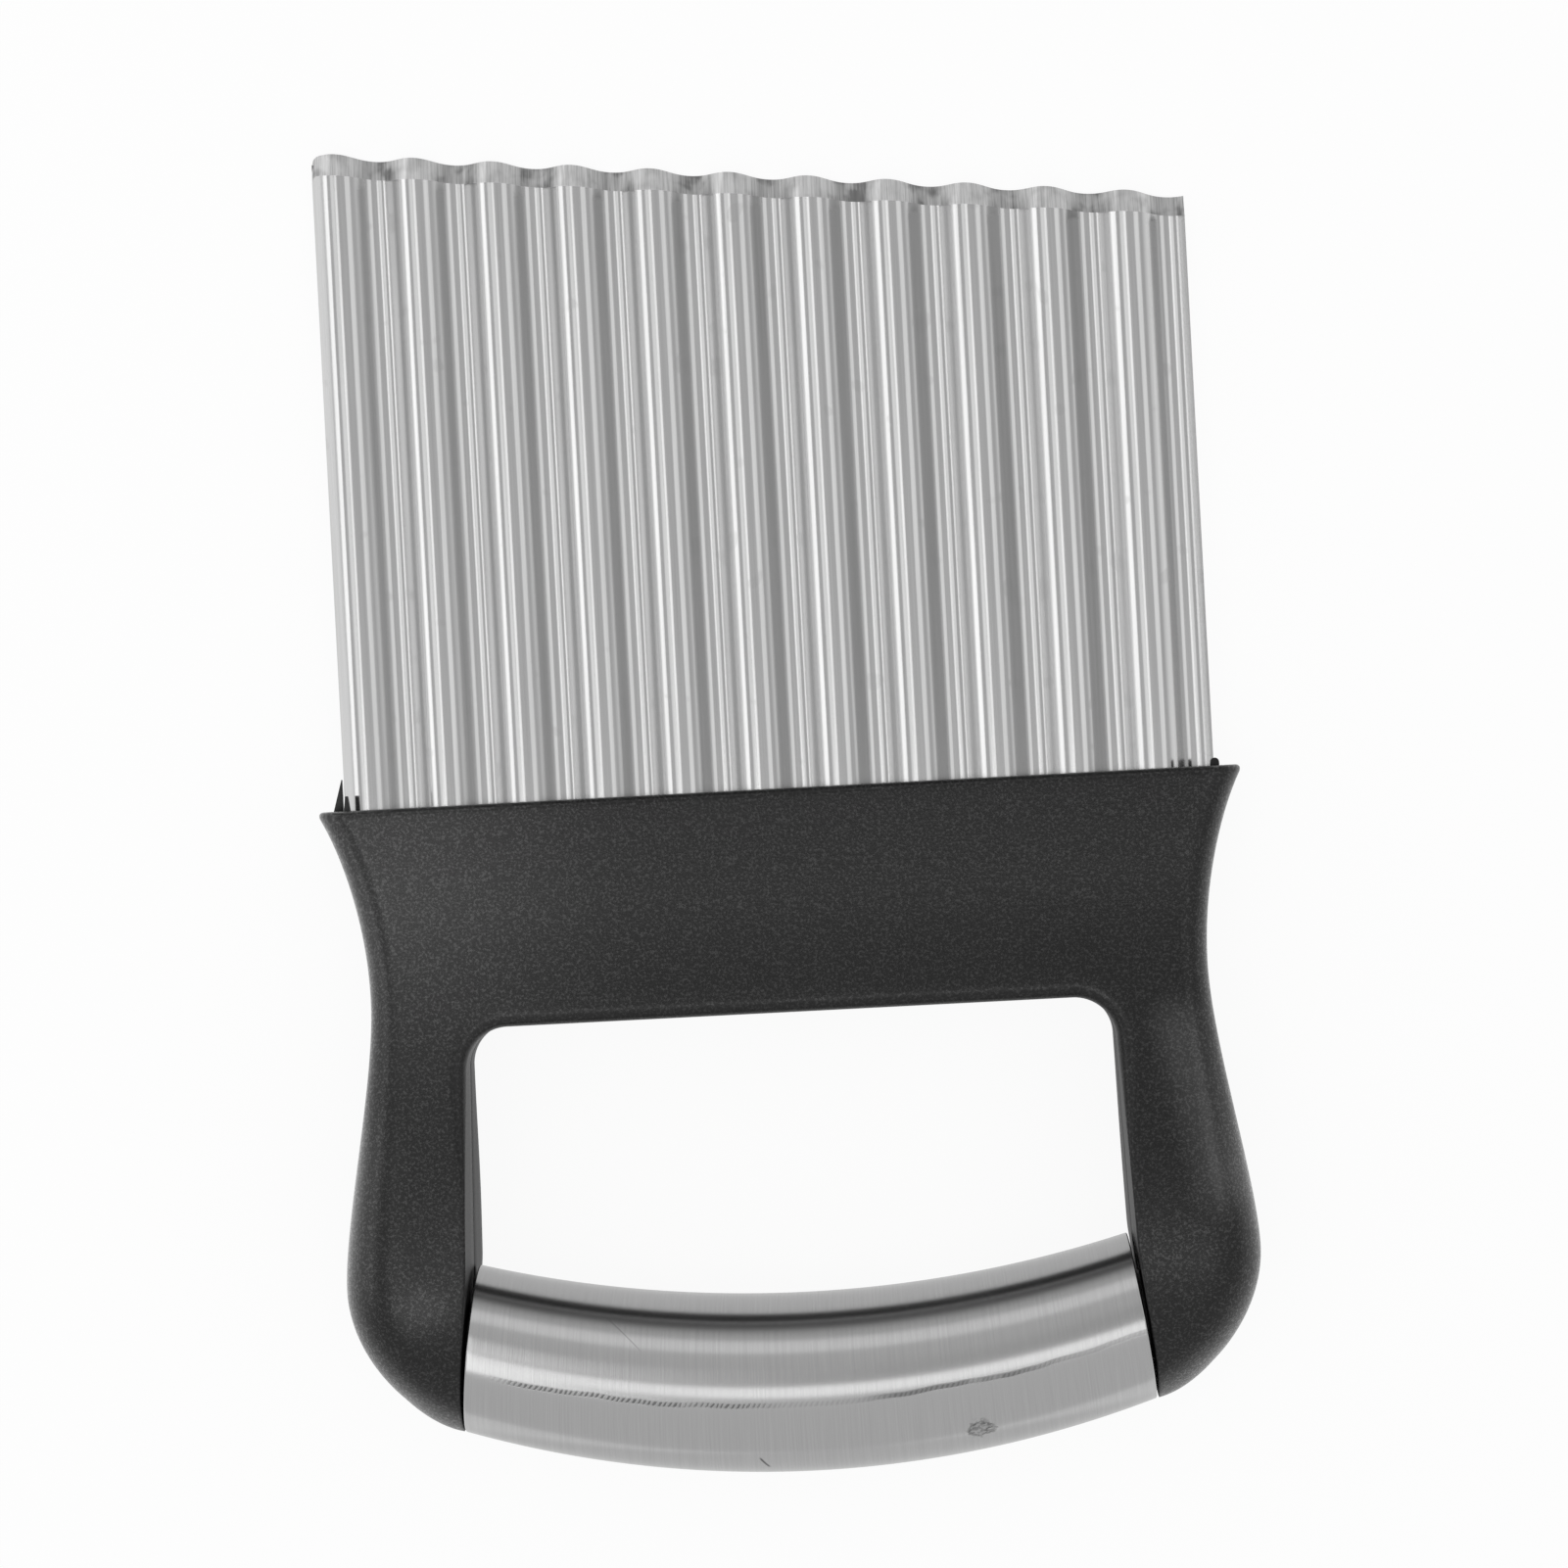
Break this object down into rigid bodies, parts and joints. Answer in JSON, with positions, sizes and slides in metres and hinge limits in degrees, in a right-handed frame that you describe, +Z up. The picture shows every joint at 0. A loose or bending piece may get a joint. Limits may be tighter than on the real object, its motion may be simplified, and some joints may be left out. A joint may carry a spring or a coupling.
{
  "type": "crinkle cutter",
  "caption": "Hand-held crinkle cutter: a corrugated steel blade with a slanted ground edge in a black moulded handle, with a finger opening and a bowed steel grip tube.",
  "frame": {"origin": "centre of the footprint on the worktop, with the cutter lying on its back", "axes": "+X across the blade, +Y from the grip towards the cutting edge, +Z up out of the front face; the tool leans about 3.8 degrees so that its arms and its cutting edge both touch the worktop"},
  "size_m": [0.117, 0.1698, 0.0235],
  "materials": {
    "blade_steel": "bright rolled stainless steel, with a ground matt bevel",
    "handle_plastic": "black moulded plastic with a fine spark-eroded grain",
    "core_plastic": "plain black moulded plastic",
    "tube_steel": "satin stainless steel, brushed round the tube"
  },
  "bodies": {
    "root": {"blade": "blade_steel", "front_shell": "handle_plastic", "rear_shell": "handle_plastic", "grip_core": "core_plastic", "grip_tube": "tube_steel"}
  },
  "joints": []
}
